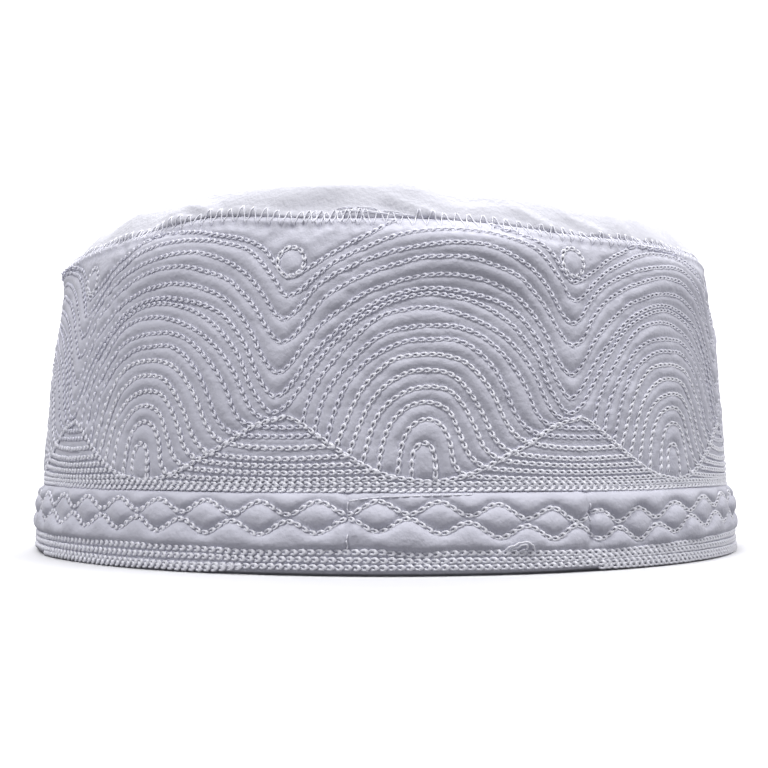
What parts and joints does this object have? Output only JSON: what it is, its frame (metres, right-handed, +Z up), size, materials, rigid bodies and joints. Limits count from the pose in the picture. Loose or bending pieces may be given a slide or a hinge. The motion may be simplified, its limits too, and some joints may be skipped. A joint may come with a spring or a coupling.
{
  "type": "kufi",
  "caption": "Brimless round cap of white quilted cloth with a padded headband, a side wall stitched in arched panels and a soft flat crown.",
  "frame": {"origin": "centre of the rim, on the surface that the cap stands on", "axes": "+Z up through the crown, -Y towards the front that the picture shows, +X to that view's right"},
  "size_m": [0.191, 0.191, 0.0842],
  "materials": {
    "band_cloth": "plain woven cotton, padded",
    "quilted_cloth": "plain woven cotton, quilted",
    "crown_cloth": "plain woven cotton, soft",
    "thread": "satin embroidery thread"
  },
  "bodies": {
    "root": {"headband": "band_cloth", "side_band": "quilted_cloth", "crown_top": "crown_cloth"}
  },
  "joints": []
}
